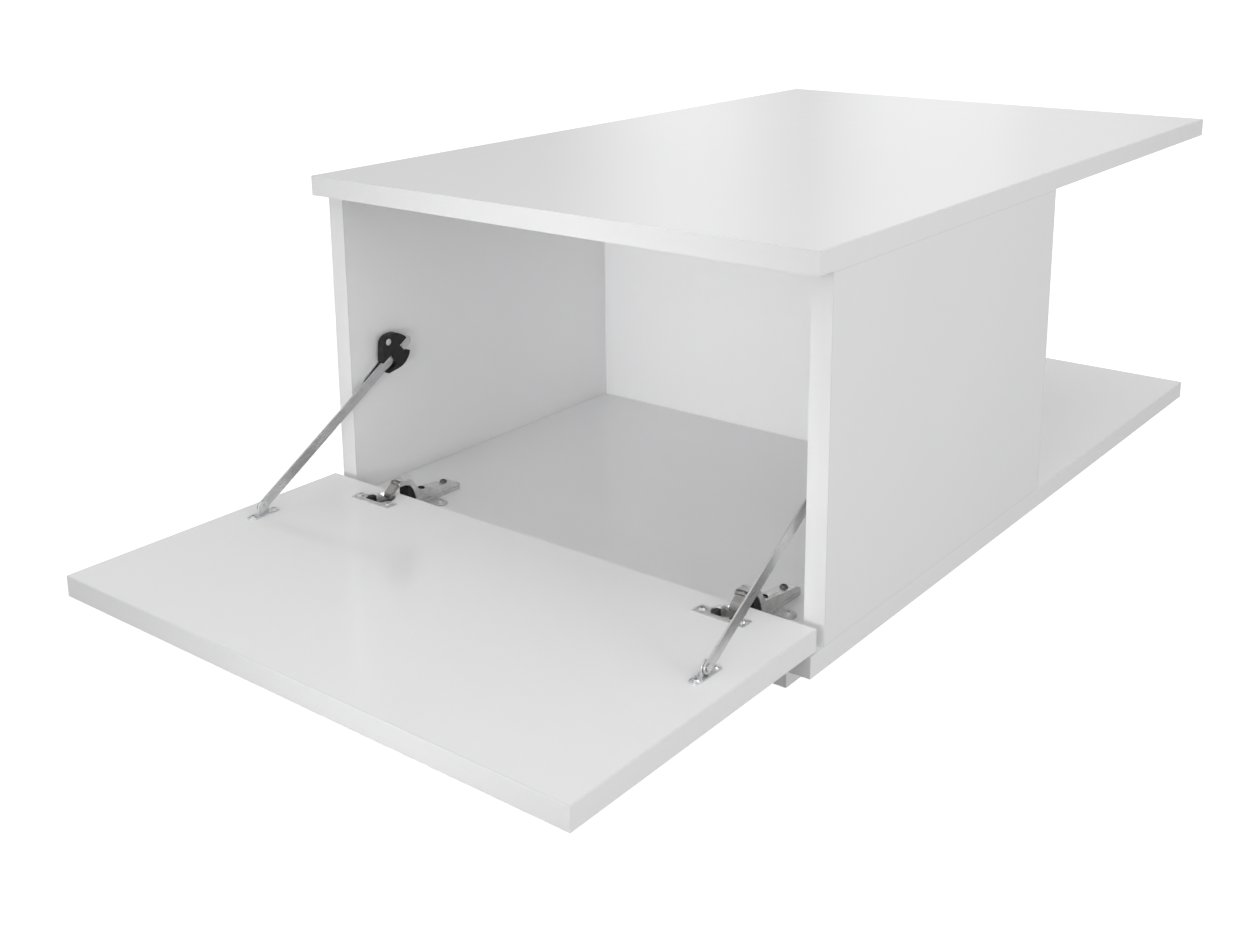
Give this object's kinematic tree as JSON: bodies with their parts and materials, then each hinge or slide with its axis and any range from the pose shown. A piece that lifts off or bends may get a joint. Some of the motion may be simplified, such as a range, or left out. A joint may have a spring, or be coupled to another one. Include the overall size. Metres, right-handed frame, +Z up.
{
  "type": "coffee table",
  "caption": "Low rectangular gloss table with a storage box under its front half, an open shelf behind and a drop-front flap on cup hinges and sliding stays.",
  "frame": {"origin": "on the floor, in the middle of the table's box with the flap open", "axes": "+X to the right seen from the flap, +Y from the open flap towards the open shelf, +Z up"},
  "size_m": [0.65, 1.358, 0.46],
  "materials": {
    "white_lacquer": "high-gloss white lacquer on fibreboard",
    "nickel_steel": "nickel-plated pressed steel",
    "zinc_steel": "zinc-plated steel",
    "screw_steel": "bright zinc-plated screws and pins",
    "black_plastic": "black moulded plastic",
    "cast_zinc": "bare zinc casting",
    "beech": "raw beech",
    "glide_plastic": "grey moulded plastic"
  },
  "bodies": {
    "table": {"arm_adjusting_screws": "screw_steel", "arm_fixing_screws": "screw_steel", "arm_pins": "screw_steel", "back_panel": "white_lacquer", "bottom_panel": "white_lacquer", "cam_bolts": "screw_steel", "cam_fittings": "cast_zinc", "carcass_screws": "screw_steel", "dowels": "beech", "floor_glides": "glide_plastic", "hub_base_screws": "screw_steel", "left_hinge_arm": "nickel_steel", "left_hinge_insert": "black_plastic", "left_hub_base": "zinc_steel", "left_mounting_plate": "nickel_steel", "left_side_panel": "white_lacquer", "mounting_plate_screws": "screw_steel", "plinth_brackets": "zinc_steel", "plinth_front_board": "white_lacquer", "plinth_left_board": "white_lacquer", "plinth_rear_board": "white_lacquer", "plinth_right_board": "white_lacquer", "plinth_screws": "screw_steel", "right_hinge_arm": "nickel_steel", "right_hinge_insert": "black_plastic", "right_hub_base": "zinc_steel", "right_mounting_plate": "nickel_steel", "right_side_panel": "white_lacquer", "top_panel": "white_lacquer"},
    "flap": {"flap_door": "white_lacquer", "cup_screws": "screw_steel", "door_bracket_screws": "screw_steel", "bar_rivets": "screw_steel", "left_hinge_cup": "nickel_steel", "left_door_bracket": "nickel_steel", "right_hinge_cup": "nickel_steel", "right_door_bracket": "nickel_steel"},
    "left_links": {"left_hinge_outer_link": "nickel_steel", "left_hinge_inner_link": "nickel_steel"},
    "left_bar": {"left_stay_bar": "zinc_steel", "left_stay_stop": "zinc_steel"},
    "left_hub": {"left_stay_hub": "black_plastic", "left_hub_screw": "screw_steel"},
    "right_links": {"right_hinge_outer_link": "nickel_steel", "right_hinge_inner_link": "nickel_steel"},
    "right_bar": {"right_stay_bar": "zinc_steel", "right_stay_stop": "zinc_steel"},
    "right_hub": {"right_stay_hub": "black_plastic", "right_hub_screw": "screw_steel"}
  },
  "joints": [
    {"name": "flap_hinge", "type": "hinge", "parent": "table", "child": "flap", "pos_m": [0, -0.335, 0.091], "axis": [-1, 0, 0], "range_deg": [0, 90]},
    {"name": "left_links_turn", "type": "hinge", "parent": "table", "child": "left_links", "pos_m": [-0.225, -0.328, 0.1166], "axis": [1, 0, 0], "range_deg": [0, 49.5]},
    {"name": "left_bar_turn", "type": "hinge", "parent": "flap", "child": "left_bar", "pos_m": [-0.295, -0.461, 0.115], "axis": [1, 0, 0], "range_deg": [0, 45]},
    {"name": "left_hub_turn", "type": "hinge", "parent": "table", "child": "left_hub", "pos_m": [-0.295, -0.29814, 0.21385], "axis": [-1, 0, 0], "range_deg": [0, 45]},
    {"name": "right_links_turn", "type": "hinge", "parent": "table", "child": "right_links", "pos_m": [0.242, -0.328, 0.1166], "axis": [1, 0, 0], "range_deg": [0, 49.5]},
    {"name": "right_bar_turn", "type": "hinge", "parent": "flap", "child": "right_bar", "pos_m": [0.295, -0.461, 0.115], "axis": [1, 0, 0], "range_deg": [0, 45]},
    {"name": "right_hub_turn", "type": "hinge", "parent": "table", "child": "right_hub", "pos_m": [0.295, -0.29814, 0.21385], "axis": [-1, 0, 0], "range_deg": [0, 45]}
  ],
  "couplings": [
    {"joint": "left_links_turn", "follows": "flap_hinge", "ratio": 0.5489},
    {"joint": "left_bar_turn", "follows": "flap_hinge", "ratio": 0.5},
    {"joint": "left_hub_turn", "follows": "flap_hinge", "ratio": 0.5},
    {"joint": "right_links_turn", "follows": "flap_hinge", "ratio": 0.5489},
    {"joint": "right_bar_turn", "follows": "flap_hinge", "ratio": 0.5},
    {"joint": "right_hub_turn", "follows": "flap_hinge", "ratio": 0.5}
  ]
}
